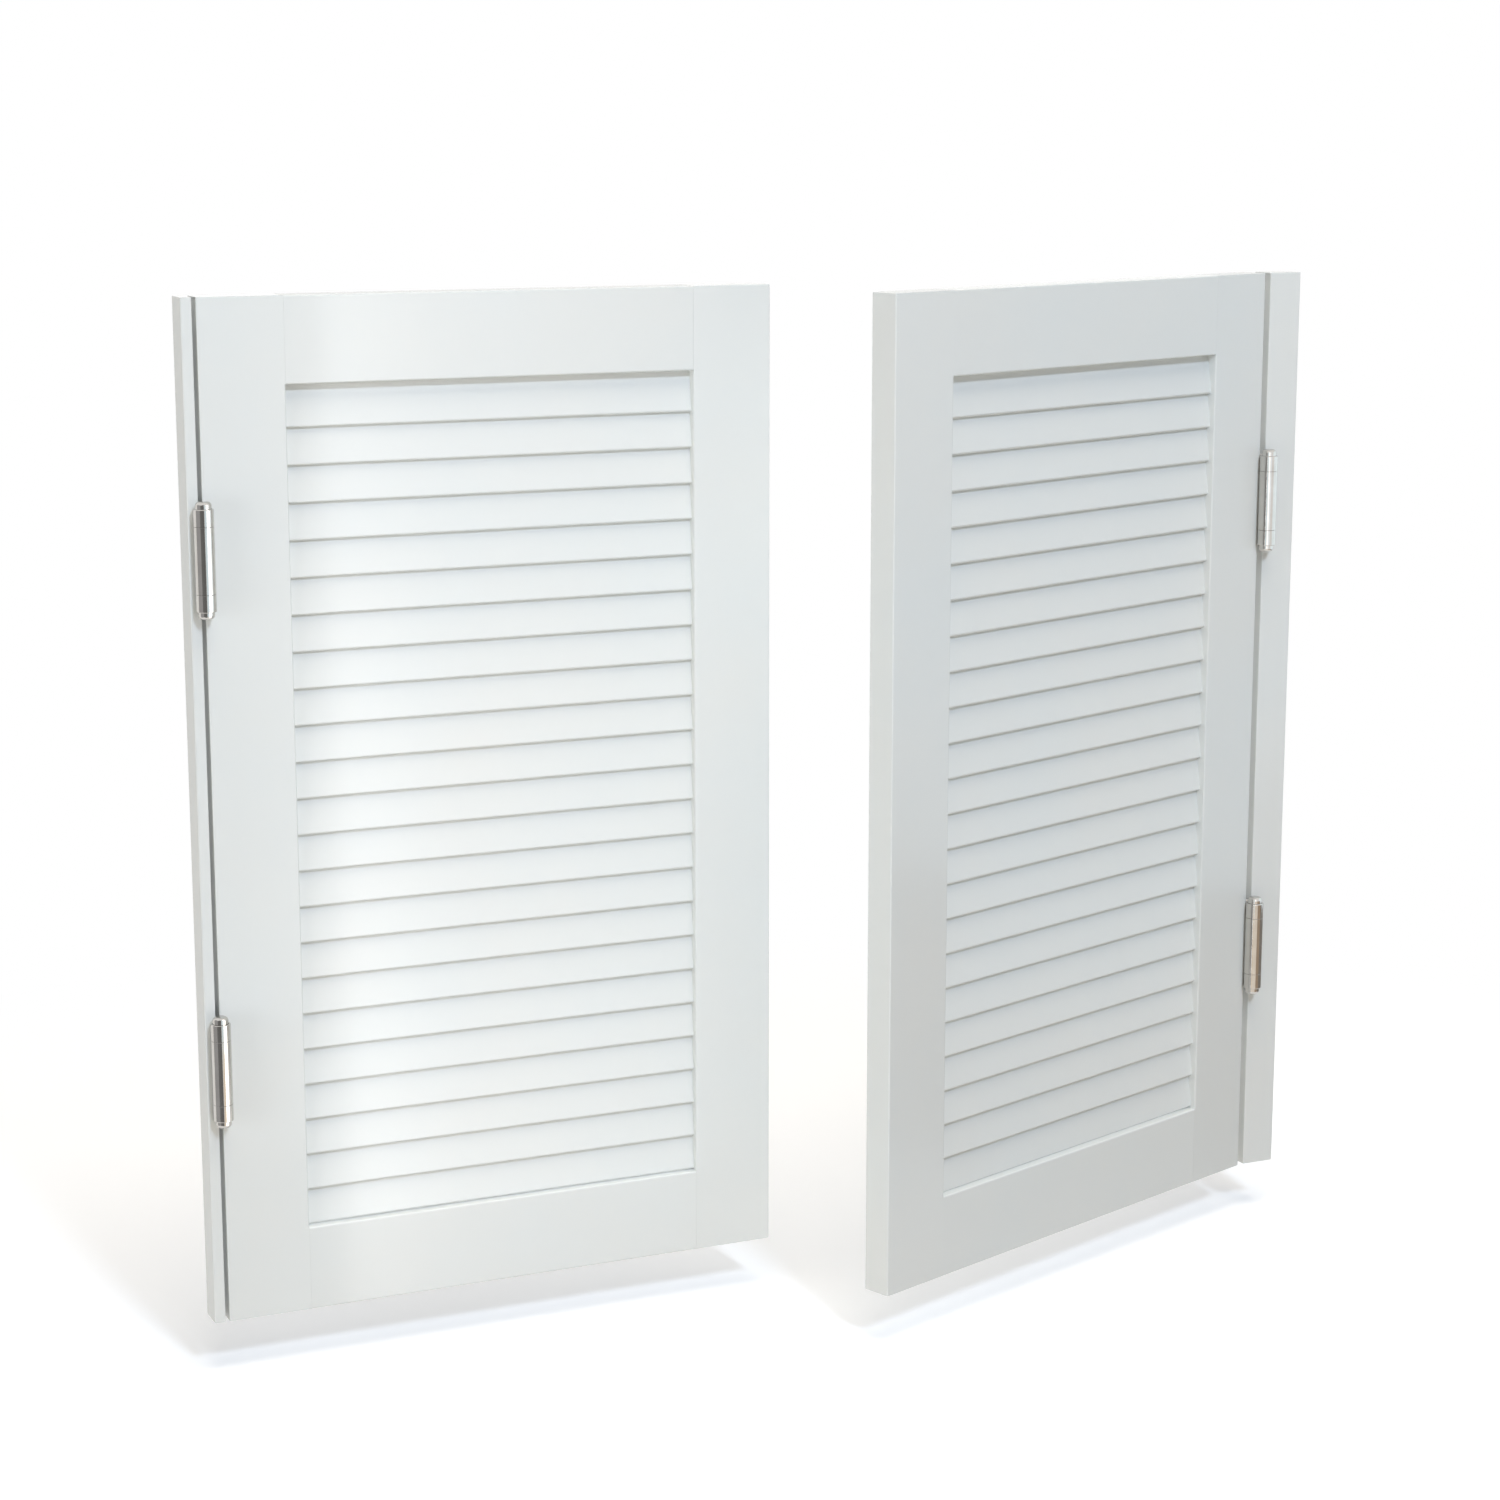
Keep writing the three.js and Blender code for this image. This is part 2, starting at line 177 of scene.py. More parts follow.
class Finish:
    """A finish that makes its material once and shares it among pieces."""

    title: str

    def material(self) -> bpy.types.Material:
        """Find this finish's material, or make it."""
        made = bpy.data.materials.get(self.title)
        if made is None:
            made = bpy.data.materials.new(self.title)
            made.use_nodes = True
            self.dress(made.node_tree, made.node_tree.nodes["Principled BSDF"])
        return made

    def dress(self, tree: bpy.types.NodeTree, shader: bpy.types.Node) -> None:
        """Build the nodes of the finish.

        Args:
            tree: Node tree of the new material.
            shader: Its Principled shader.
        """
        raise NotImplementedError


@dataclass(frozen=True)
class SatinEnamel(Finish):
    """White satin enamel, sprayed on primed wood that was sanded along the board.

    It gives the eye a tone that is not quite even and a soft sheen, which the sanding under the
    coat spreads out across the board and leaves sharper along it.
    """

    grain: Grain
    turn: float = 0.0  # radians about Z that the board stands turned
    cool: str = "#E3E8E8"
    warm: str = "#E9E9E5"
    cloud_mm: float = 160.0
    drag_width_mm: float = 2.6  # real tracks are under 1 mm, drawn coarser so that they show
    drag_length_mm: float = 140.0
    drag_height_mm: float = 0.0006
    peel_mm: float = 2.2  # pebbling of the sprayed coat, also drawn coarser
    peel_height_mm: float = 0.001
    gloss: tuple[float, float] = (0.18, 0.2)
    sheen_stretch: float = 0.95
    across: float = 0.25  # quarter turn from the board's length to the way the sheen stretches
    ior: float = 1.5

    @property
    def title(self) -> str:
        """Name of the material."""
        return f"white_satin_enamel_{self.grain.value}_{math.degrees(self.turn):.0f}"

    def dress(self, tree: bpy.types.NodeTree, shader: bpy.types.Node) -> None:
        """Build a clouded white with a faint drag and pebble.

        Args:
            tree: Node tree of the new material.
            shader: Its Principled shader.
        """
        place = add_node(tree, "ShaderNodeTexCoord").outputs["Object"]
        clouds = self.noise(tree, place, Vector((1, 1, 1)) * self.cloud_mm, detail=3)
        if self.grain is Grain.UPRIGHT:
            track = Vector((self.drag_width_mm, self.drag_width_mm, self.drag_length_mm))
        else:
            track = Vector((self.drag_length_mm, self.drag_width_mm, self.drag_width_mm))
        drag = self.noise(tree, place, track, detail=2)
        along = add_node(
            tree,
            "ShaderNodeVectorTransform",
            {"Vector": self.length_way()},
            vector_type="VECTOR",
            convert_from="OBJECT",
            convert_to="WORLD",
        )
        peel = self.noise(tree, place, Vector((1, 1, 1)) * self.peel_mm, detail=1)
        tone = add_node(
            tree,
            "ShaderNodeMix",
            {0: clouds, MIX_A: linear(self.cool), MIX_B: linear(self.warm)},
            data_type="RGBA",
        )
        rough = add_node(
            tree,
            "ShaderNodeMapRange",
            {"Value": drag, "To Min": self.gloss[0], "To Max": self.gloss[1]},
        )
        dragged = add_node(
            tree, "ShaderNodeBump", {"Height": drag, "Distance": self.drag_height_mm * MM}
        )
        pebbled = add_node(
            tree,
            "ShaderNodeBump",
            {"Height": peel, "Distance": self.peel_height_mm * MM, "Normal": dragged.outputs["Normal"]},
        )
        feed(
            tree,
            shader,
            {
                "Base Color": tone.outputs[MIX_COLOUR],
                "Roughness": rough.outputs["Result"],
                "Normal": pebbled.outputs["Normal"],
                "Tangent": along.outputs["Vector"],
                "Anisotropic": self.sheen_stretch,
                "Anisotropic Rotation": self.across,
                "IOR": self.ior,
            },
        )

    def length_way(self) -> Vector:
        """Direction of the board's length, tipped a little so that it lies square to no face."""
        length = Vector((0, 0.2, 1)) if self.grain is Grain.UPRIGHT else Vector((1, 0.2, 0))
        return Matrix.Rotation(self.turn, 3, "Z") @ length

    def noise(
        self, tree: bpy.types.NodeTree, place: bpy.types.NodeSocket, size_mm: Vector, detail: float
    ) -> bpy.types.NodeSocket:
        """Add noise whose lumps have a real size along the board's own axes.

        Args:
            tree: Node tree to add to.
            place: Object coordinates.
            size_mm: Size of a lump in millimetres.
            detail: Octaves of the noise.

        Returns:
            The noise as a number from 0 to 1.
        """
        board = add_node(
            tree,
            "ShaderNodeMapping",
            {"Vector": place, "Rotation": (0, 0, self.turn), "Scale": size_mm * MM},
            vector_type="TEXTURE",
        )
        lumps = add_node(
            tree, "ShaderNodeTexNoise", {"Vector": board.outputs["Vector"], "Scale": 1, "Detail": detail}
        )
        return lumps.outputs["Fac"]


@dataclass(frozen=True)
class BrightMetal(Finish):
    """Bare or plated metal, polished round its upright axis.

    It gives the eye clear upright reflections that fine polishing lines blur a little sideways.
    """

    title: str
    light: str
    dark: str
    gloss: tuple[float, float]
    smudge_mm: float = 14.0
    line_mm: float = 1.1  # real polishing lines are near 0.1 mm, drawn coarser so that they show
    line_height_mm: float = 0.003
    line_length_mm: float = 40.0

    def dress(self, tree: bpy.types.NodeTree, shader: bpy.types.Node) -> None:
        """Build a metal with smudged gloss and fine polishing lines.

        Args:
            tree: Node tree of the new material.
            shader: Its Principled shader.
        """
        place = add_node(tree, "ShaderNodeTexCoord").outputs["Object"]
        line = Vector((self.line_length_mm, self.line_length_mm, self.line_mm)) * MM
        smudge = Vector((1, 1, 1)) * self.smudge_mm * MM
        fields = []
        for size in (line, smudge):
            scaled = add_node(
                tree, "ShaderNodeMapping", {"Vector": place, "Scale": size}, vector_type="TEXTURE"
            )
            noise = add_node(
                tree,
                "ShaderNodeTexNoise",
                {"Vector": scaled.outputs["Vector"], "Scale": 1, "Detail": 2},
            )
            fields.append(noise.outputs["Fac"])
        lines, smudges = fields
        tone = add_node(
            tree,
            "ShaderNodeMix",
            {0: smudges, MIX_A: linear(self.dark), MIX_B: linear(self.light)},
            data_type="RGBA",
        )
        rough = add_node(
            tree,
            "ShaderNodeMapRange",
            {"Value": smudges, "To Min": self.gloss[0], "To Max": self.gloss[1]},
        )
        bump = add_node(
            tree, "ShaderNodeBump", {"Height": lines, "Distance": self.line_height_mm * MM}
        )
        feed(
            tree,
            shader,
            {
                "Base Color": tone.outputs[MIX_COLOUR],
                "Metallic": 1.0,
                "Roughness": rough.outputs["Result"],
                "Normal": bump.outputs["Normal"],
            },
        )


NICKEL = BrightMetal("satin_nickel_plate", light="#D6D3CE", dark="#C4C0BA", gloss=(0.07, 0.12))
SPRING_STEEL = BrightMetal("oiled_spring_steel", light="#7C7B7C", dark="#5C5B5E", gloss=(0.3, 0.45))
SCREW_STEEL = BrightMetal("nickelled_screw_steel", light="#C6C2BC", dark="#A9A59F", gloss=(0.2, 0.34))


# Mesh work


def near(first: float, second: float) -> bool:
    """Tell whether two lengths are the same."""
    return abs(first - second) < TOUCH


def block(low: Vector, high: Vector) -> Shape:
    """Make a square-edged box.

    Args:
        low: Lowest corner.
        high: Highest corner.

    Returns:
        The box.
    """
    box = bmesh.new()
    bmesh.ops.create_cube(box, size=1)
    bmesh.ops.scale(box, vec=high - low, verts=box.verts)
    bmesh.ops.translate(box, vec=(low + high) / 2, verts=box.verts)
    return box


def runs(shape: Shape, axis: int, test: Callable[[Vector], bool]) -> list[bmesh.types.BMEdge]:
    """Find the edges along one axis whose two ends pass a test.

    Args:
        shape: Shape to search.
        axis: 0, 1 or 2 for X, Y or Z.
        test: Tells whether a point counts.

    Returns:
        The edges found.
    """
    found = []
    for edge in shape.edges:
        way = edge.verts[1].co - edge.verts[0].co
        if abs(way[axis]) > 0.999 * way.length and all(test(end.co) for end in edge.verts):
            found.append(edge)
    return found


def ease(shape: Shape, edges: list[bmesh.types.BMEdge], radius: float, segments: int = 3) -> None:
    """Round edges over.

    Args:
        shape: Shape that holds the edges.
        edges: Edges to round.
        radius: Radius of the rounding.
        segments: Facets across it.
    """
    bmesh.ops.bevel(
        shape,
        geom=edges,
        offset=radius,
        offset_type="OFFSET",
        segments=segments,
        profile=0.5,
        affect="EDGES",
        material=-1,
    )


def combine(base: Shape, others: list[Shape], operation: str) -> Shape:
    """Join closed shapes to another, or cut it with them.

    Args:
        base: Shape to work on, which is used up.
        others: Shapes to join or to cut with, which are used up.
        operation: "UNION" or "DIFFERENCE".

    Returns:
        The result as one skin.
    """
    scratch = []
    for shape in (base, *others):
        mesh = bpy.data.meshes.new("scratch")
        shape.to_mesh(mesh)
        shape.free()
        helper = bpy.data.objects.new("scratch", mesh)
        bpy.context.scene.collection.objects.link(helper)
        scratch.append(helper)
    for tool in scratch[1:]:
        step = scratch[0].modifiers.new("step", "BOOLEAN")
        step.operation = operation
        step.solver = "EXACT"
        step.object = tool
    bpy.context.view_layer.update()
    done = scratch[0].evaluated_get(bpy.context.evaluated_depsgraph_get())
    result = bmesh.new()
    result.from_mesh(done.to_mesh())
    done.to_mesh_clear()
    for helper in scratch:
        mesh = helper.data
        bpy.data.objects.remove(helper)
        bpy.data.meshes.remove(mesh)
    return result


@dataclass(frozen=True)
class Place:
    """Where a shape drawn in its own coordinates stands, and the body that carries it."""

    matrix: Matrix
    body: str


def make_piece(
    name: str, shape: Shape, place: Place, finish: Finish, nodes: tuple[str, ...] = ()
) -> bpy.types.Object:
    """Turn a shape into a dressed piece that rides on a body.

    Args:
        name: Name of the piece.
        shape: Its shape, which is used up.
        place: Where it stands and what carries it.
        finish: Finish of its surface.
        nodes: CAD nodes that it stands for.

    Returns:
        The new object.
    """
    bmesh.ops.transform(shape, matrix=place.matrix, verts=shape.verts)
    bmesh.ops.recalc_face_normals(shape, faces=shape.faces)
    mesh = bpy.data.meshes.new(name)
    shape.to_mesh(mesh)
    shape.free()
    mesh.shade_smooth()
    mesh.set_sharp_from_angle(angle=SMOOTH_BELOW)
    mesh.materials.append(finish.material())
    piece = bpy.data.objects.new(name, mesh)
    bpy.context.scene.collection.objects.link(piece)
    flats = piece.modifiers.new("flat faces stay flat", "WEIGHTED_NORMAL")
    flats.keep_sharp = True
    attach(piece, place.body)
    if nodes:
        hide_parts(*nodes)
    LOG.info("%s: %d faces on %s", name, len(mesh.polygons), place.body)
    return piece


# Doors


@dataclass(frozen=True)
class HingeLine:
    """The upright line between a strip and its leaf, where hinge coordinates start.

    x = 0 is the middle of the gap and x grows into the leaf, y = 0 is the middle of the thickness
    and z = 0 is half height. The right side is the left one mirrored.
    """

    side: Side

    def joint(self, barrel: Barrel) -> dict:
        """The frame's joint at the front or the rear barrels."""
        name = f"{self.side.value}_{barrel.name.lower()}"
        return next(joint for joint in frame["joints"] if joint["name"] == name)

    @property
    def barrel_axis(self) -> float:
        """Distance of the barrels' axes from the middle of the thickness."""
        return abs(self.joint(Barrel.FRONT)["pos_m"][1])

    @property
    def ajar(self) -> float:
        """Angle about Z at which the leaf stands, counted from shut."""
        front = self.joint(Barrel.FRONT)
        return -math.radians(front["range_deg"][0]) * front["axis"][2]

    def fixed(self, body: str) -> Place:
        """Place of what stands square to the doorway on a body."""
        x = self.joint(Barrel.FRONT)["pos_m"][0]
        hand = 1 if self.side is Side.LEFT else -1
        return Place(Matrix.Translation((x, 0, 0)) @ Matrix.Diagonal((hand, 1, 1, 1)), body)

    def swung(self) -> Place:
        """Place of what swings with the leaf."""
        axis = Matrix.Translation(self.joint(Barrel.FRONT)["pos_m"])
        turn = axis @ Matrix.Rotation(self.ajar, 4, "Z") @ axis.inverted()
        body = f"{self.side.value}_leaf"
        return Place(turn @ self.fixed(body).matrix, body)


@dataclass
class JambStrip:
    """Flat painted strip that is fixed to the wall and carries a leaf."""

    side: Side
    arris: float = 1.2 * MM
    end_arris: float = 0.6 * MM

    def build(self) -> None:
        """Make the strip where its CAD node is."""
        node = f"{self.side.value}_jamb_strip"
        low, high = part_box(node)
        strip = block(low, high)
        ease(strip, runs(strip, 2, lambda point: True), self.arris)
        ends = [edge for edge in strip.edges if near(edge.verts[0].co.z, edge.verts[1].co.z)]
        ease(strip, ends, self.end_arris, segments=2)
        place = Place(Matrix.Identity(4), "root")
        make_piece(f"{node}_eased", strip, place, SatinEnamel(Grain.UPRIGHT), (node,))


@dataclass(frozen=True)
class LeafSizes:
    """Sizes of a leaf in hinge coordinates."""

    hinge_edge: float
    stile_inner: float
    free_inner: float
    free_edge: float
    face: float
    half_height: float
    opening_low: float
    opening_high: float

    @classmethod
    def from_frame(cls) -> "LeafSizes":
        """Read the sizes off the left leaf, which stands square to the frame."""
        start = HingeLine(Side.LEFT).joint(Barrel.FRONT)["pos_m"][0]
        stile_low, stile_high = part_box("left_hinge_stile")
        free_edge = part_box("left_slatted_free_stile")[1].x - start
        stile_width = stile_high.x - stile_low.x
        return cls(
            hinge_edge=stile_low.x - start,
            stile_inner=stile_high.x - start,
            free_inner=free_edge - stile_width,
            free_edge=free_edge,
            face=stile_high.y,
            half_height=stile_high.z,
            opening_low=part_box("left_bottom_rail")[1].z,
            opening_high=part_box("left_top_rail")[0].z,
        )


@dataclass
class Leaf:
    """Louvred leaf: two stiles, two rails and a stack of fixed slats."""

    line: HingeLine
    sizes: LeafSizes
    arris: float = 1.2 * MM
    end_arris: float = 0.6 * MM
    sticking: float = 1.6 * MM  # rounding of the edges round the opening
    joint_gap: float = 0.05 * MM
    joint_arris: float = 0.15 * MM
    slat_count: int = 23
    slat_width: float = 37 * MM
    slat_thickness: float = 4.2 * MM
    slat_tilt: float = math.radians(8.1)  # from upright, lower edge forward
    slat_recess: float = 5 * MM  # nose behind the front face
    slat_back_arris: float = 0.5 * MM
    slat_housing: float = 5 * MM  # length that each end stands in a stile
    first_nose_drop: float = 37.4 * MM  # below the top rail
    last_nose_rise: float = 1.5 * MM  # above the bottom rail

    def build(self) -> None:
        """Make the boards and slats of the leaf."""
        s = self.sizes
        boards = {
            "hinge_stile": self.stile(s.hinge_edge, s.stile_inner),
            "slatted_free_stile": self.stile(s.free_edge, s.free_inner),
            "top_rail": self.rail(s.opening_high, s.half_height),
            "bottom_rail": self.rail(s.opening_low, -s.half_height),
        }
        for part, shape in boards.items():
            grain = Grain.ACROSS if part.endswith("rail") else Grain.UPRIGHT
            self.paint(f"{part.replace('slatted_', '')}_eased", shape, grain, (part,))
        for index in range(self.slat_count):
            self.paint(f"slat_{index + 1:02d}", self.slat(index), Grain.ACROSS)

    def paint(self, part: str, shape: Shape, grain: Grain, nodes: tuple[str, ...] = ()) -> None:
        """Make a painted piece of the leaf.

        Args:
            part: Name of the piece without its side.
            shape: Its shape in hinge coordinates.
            grain: Way the paint was laid off.
            nodes: CAD nodes that it stands for, without their side.
        """
        side = self.line.side.value
        stands_for = tuple(f"{side}_{node}" for node in nodes)
        finish = SatinEnamel(grain, self.line.ajar)
        make_piece(f"{side}_{part}", shape, self.line.swung(), finish, stands_for)

    def stile(self, outer: float, inner: float) -> Shape:
        """Make an upright board whose inner edges are rounded only beside the opening.

        Args:
            outer: x of its outer edge.
            inner: x of the edge that meets the rails and the opening.

        Returns:
            The stile in hinge coordinates.
        """
        s = self.sizes
        first, last = sorted((outer, inner))
        levels = (-s.half_height, s.opening_low, s.opening_high, s.half_height)
        lengths = []
        for low, high in zip(levels, levels[1:]):
            length = block(Vector((first, -s.face, low)), Vector((last, s.face, high)))
            if low == s.opening_low:
                ease(length, runs(length, 2, lambda point: near(point.x, inner)), self.sticking)
            ease(length, runs(length, 2, lambda point: near(point.x, outer)), self.arris)
            lengths.append(length)
        post = combine(lengths[0], lengths[1:], "UNION")
        self.ease_ends(post)
        return post

    def ease_ends(self, post: Shape) -> None:
        """Round the edges of a stile's two end faces."""
        top = self.sizes.half_height
        ends = [edge for edge in post.edges if all(near(abs(end.co.z), top) for end in edge.verts)]
        ease(post, ends, self.end_arris, segments=2)

    def rail(self, opening: float, outer: float) -> Shape:
        """Make a level board between the stiles.

        Args:
            opening: z of its edge at the louvred opening.
            outer: z of its edge at the end of the leaf.

        Returns:
            The rail in hinge coordinates.
        """
        s = self.sizes
        start = s.stile_inner + self.joint_gap
        end = s.free_inner - self.joint_gap
        low = Vector((start, -s.face, min(opening, outer)))
        high = Vector((end, s.face, max(opening, outer)))
        beam = block(low, high)
        ease(beam, runs(beam, 0, lambda point: near(point.z, opening)), self.sticking)
        ease(beam, runs(beam, 0, lambda point: near(point.z, outer)), self.arris)
        shoulders = runs(beam, 2, lambda point: near(point.x, start) or near(point.x, end))
        ease(beam, shoulders, self.joint_arris, segments=2)
        return beam

    def slat(self, index: int) -> Shape:
        """Make a slat with a round nose and a squarer back edge.

        Args:
            index: Number of the slat, counted down from the top.

        Returns:
            The slat in hinge coordinates.
        """
        s = self.sizes
        half = self.slat_thickness / 2
        back = self.slat_width - half
        low = Vector((s.stile_inner - self.slat_housing, -half, -half))
        high = Vector((s.free_inner + self.slat_housing, half, back))
        board = block(low, high)  # z = 0 is the axis of its round nose
        ease(board, runs(board, 0, lambda point: point.z < 0), 0.97 * half, segments=5)
        ease(board, runs(board, 0, lambda point: near(point.z, back)), self.slat_back_arris, segments=2)
        first = s.opening_high - self.first_nose_drop
        last = s.opening_low + self.last_nose_rise
        level = first + (last - first) * index / (self.slat_count - 1)
        lean = Matrix.Rotation(-self.slat_tilt, 4, "X")
        nose = Vector((0, self.slat_recess - s.face, level)) + lean @ Vector((0, half, half))
        bmesh.ops.transform(board, matrix=Matrix.Translation(nose) @ lean, verts=board.verts)
        return board


# Spring hinges


@dataclass
class SpringHinge:
    """Double-acting spring hinge: two flanges and a web between them, on two sprung barrels."""

    line: HingeLine
    level: Level
    barrel_wall: float = 1.4 * MM
    tip_height: float = 6.3 * MM  # of the narrower ends that stand out of a barrel
    tip_rounding: float = 3.6 * MM
    knuckle: float = 15.2 * MM
    knuckle_gap: float = 0.2 * MM
    rim_arris: float = 0.9 * MM  # at the ends of a barrel
    split_arris: float = 0.15 * MM  # where tube and knuckles meet
    plate: float = 0.8 * MM
    plate_offset: float = 1.1 * MM  # middle of a flange from the middle of the gap
    plate_reach: float = 12 * MM
    plate_air: float = 1.1 * MM  # between a flange and the web's tube
    plate_arris: float = 0.15 * MM
    web_reach: float = 13.6 * MM
    pin_radius: float = 3 * MM
    pin_foot: float = 11 * MM
    cap_skirt: float = 4 * MM
    bore_air: float = 0.3 * MM
    spring_wire: float = 1 * MM
    spring_coil: float = 5.2 * MM
    spring_height: float = 54 * MM
    spring_curls: int = 22
    facets: int = 48
    screw_head: float = 3.2 * MM
    screw_shank: float = 1.6 * MM
    screw_length: float = 7.5 * MM
    screw_sink: float = 0.9 * MM  # depth of the tapered head
    screw_recess: float = 0.55 * MM
    screw_rows: tuple[float, ...] = (-0.36, -0.12, 0.12, 0.36)  # share of the barrel's height
    screw_stagger: float = 5 * MM

    def __post_init__(self) -> None:
        """Read the hinge's height and its barrels' size off the web in the frame."""
        low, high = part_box(f"{self.line.side.value}_{self.level.value}_centre_web")
        self.middle = (low.z + high.z) / 2
        self.barrel_top = (high.z - low.z) / 2
        self.barrel_radius = high.y - self.line.barrel_axis

    @property
    def tube_top(self) -> float:
        """Half the height of the web's tubes, between the knuckles."""
        return self.barrel_top - self.knuckle - self.knuckle_gap

    @property
    def bore(self) -> float:
        """Inner radius of a barrel."""
        return self.barrel_radius - self.barrel_wall

    @property
    def plate_root(self) -> float:
        """How far a plate reaches into the wall of its barrel, from the middle of the thickness."""
        return self.line.barrel_axis - self.barrel_radius + 0.75 * self.barrel_wall

    def build(self) -> None:
        """Make the flanges, the web, and each barrel's pin, cap and spring."""
        still = self.line.fixed("root")
        swung = self.line.swung()
        web = self.line.fixed(f"{self.line.side.value}_web")
        self.fit("jamb_flange", "rolled", self.flange(-self.plate_offset, Barrel.REAR), still, NICKEL)
        self.fit("centre_web", "rolled", self.centre_web(), web, NICKEL)
        self.fit("door_flange", "rolled", self.flange(self.plate_offset, Barrel.FRONT), swung, NICKEL)
        self.fit("jamb_screws", "", self.screws(-1), still, SCREW_STEEL)
        self.fit("door_screws", "", self.screws(1), swung, SCREW_STEEL)
        for barrel, place in ((Barrel.FRONT, swung), (Barrel.REAR, still)):
            name = barrel.name.lower()
            self.fit(f"{name}_pin", "turned", self.pin(barrel), place, NICKEL)
            self.fit(f"{name}_cap", "turned", self.cap(barrel), place, NICKEL)
            self.fit(f"{name}_spring", "wound", self.spring(barrel), web, SPRING_STEEL)
            self.dress_node(f"{name}_collar", SPRING_STEEL)

    def fit(self, part: str, made: str, shape: Shape, place: Place, finish: Finish) -> None:
        """Make one piece of the hinge at its height.

        Args:
            part: Name of the piece, and of its CAD node, without side and level.
            made: Word for how it was made, or nothing for a piece that has no CAD node.
            shape: Its shape, with z counted from the hinge's middle.
            place: Where it stands and what carries it.
            finish: Finish of its surface.
        """
        node = f"{self.line.side.value}_{self.level.value}_{part}"
        bmesh.ops.translate(shape, vec=(0, 0, self.middle), verts=shape.verts)
        if made:
            make_piece(f"{node}_{made}", shape, place, finish, (node,))
        else:
            make_piece(node, shape, place, finish)

    def dress_node(self, part: str, finish: Finish) -> None:
        """Give a CAD node that is shown as it is its finish.

        Args:
            part: Name of the node without side and level.
            finish: Finish of its surface.
        """
        name = f"{self.line.side.value}_{self.level.value}_{part}"
        for slot in frame["nodes"][name].material_slots:
            slot.material = finish.material()

    def tube(self, barrel: Barrel, low: float, high: float) -> Shape:
        """Make a length of barrel, with a softer rim where it ends than where it meets the next.

        Args:
            barrel: Which barrel it belongs to.
            low: z of its lower end.
            high: z of its upper end.

        Returns:
            The tube.
        """
        ring = bmesh.new()
        corners = [
            ring.verts.new((radius, 0, z))
            for radius, z in (
                (self.bore, low),
                (self.barrel_radius, low),
                (self.barrel_radius, high),
                (self.bore, high),
            )
        ]
        ring.faces.new(corners)
        for corner in corners[1:3]:
            at_end = near(abs(corner.co.z), self.barrel_top)
            bmesh.ops.bevel(
                ring,
                geom=[corner],
                offset=self.rim_arris if at_end else self.split_arris,
                offset_type="OFFSET",
                segments=3 if at_end else 1,
                profile=0.5,
                affect="VERTICES",
                material=-1,
            )
        bmesh.ops.delete(ring, geom=list(ring.faces), context="FACES_ONLY")
        bmesh.ops.spin(
            ring,
            geom=[*ring.verts, *ring.edges],
            cent=(0, 0, 0),
            axis=(0, 0, 1),
            angle=math.tau,
            steps=self.facets,
            use_merge=True,
        )
        bmesh.ops.recalc_face_normals(ring, faces=ring.faces)
        bmesh.ops.translate(ring, vec=(0, barrel.value * self.line.barrel_axis, 0), verts=ring.verts)
        return ring

    def sheet_metal(self, x: float, outline: list[tuple[float, float]]) -> Shape:
        """Make a flat plate in the gap between strip and leaf.

        Args:
            x: Middle of the plate's thickness.
            outline: Corners as (y, z).

        Returns:
            The plate.
        """
        plate = bmesh.new()
        face = plate.faces.new([plate.verts.new((x - self.plate / 2, y, z)) for y, z in outline])
        grown = bmesh.ops.extrude_face_region(plate, geom=[face])["geom"]
        raised = [part for part in grown if isinstance(part, bmesh.types.BMVert)]
        bmesh.ops.translate(plate, vec=(self.plate, 0, 0), verts=raised)
        bmesh.ops.recalc_face_normals(plate, faces=plate.faces)
        ease(plate, list(plate.edges), self.plate_arris, segments=1)
        return plate

    def flange(self, x: float, barrel: Barrel) -> Shape:
        """Make a flange: a drilled plate that curls into the two end knuckles of a barrel.

        Args:
            x: Middle of the plate's thickness.
            barrel: Barrel that it belongs to.

        Returns:
            The flange.
        """
        top = self.barrel_top
        shoulder = self.tube_top + self.knuckle_gap
        waist = self.line.barrel_axis - self.barrel_radius - self.plate_air
        profile = [
            (-self.plate_reach, -top),
            (self.plate_root, -top),
            (self.plate_root, -shoulder),
            (waist, -shoulder),
            (waist, shoulder),
            (self.plate_root, shoulder),
            (self.plate_root, top),
            (-self.plate_reach, top),
        ]
        plate = self.sheet_metal(x, [(barrel.value * y, z) for y, z in profile])
        knuckles = [self.tube(barrel, shoulder, top), self.tube(barrel, -top, -shoulder)]
        way = -1 if x < 0 else 1
        seats = [self.countersink(way, y, z) for y, z in self.screw_places()]
        return combine(combine(plate, knuckles, "UNION"), seats, "DIFFERENCE")

    def centre_web(self) -> Shape:
        """Make the web: one plate with the middle tube of both barrels."""
        top = self.barrel_top
        quarter = [(self.web_reach, -top), (self.web_reach, -self.tube_top), (self.plate_root, -self.tube_top)]
        right = quarter + [(y, -z) for y, z in reversed(quarter)]
        outline = right + [(-y, -z) for y, z in right]
        plate = self.sheet_metal(0, outline)
        tubes = [self.tube(barrel, -self.tube_top, self.tube_top) for barrel in Barrel]
        return combine(plate, tubes, "UNION")

    def screw_places(self) -> list[tuple[float, float]]:
        """Places of a flange's screws as (y, z)."""
        places = []
        for row, share in enumerate(self.screw_rows):
            side = 1 if row % 2 else -1
            places.append((side * self.screw_stagger, 2 * share * self.barrel_top))
        return places

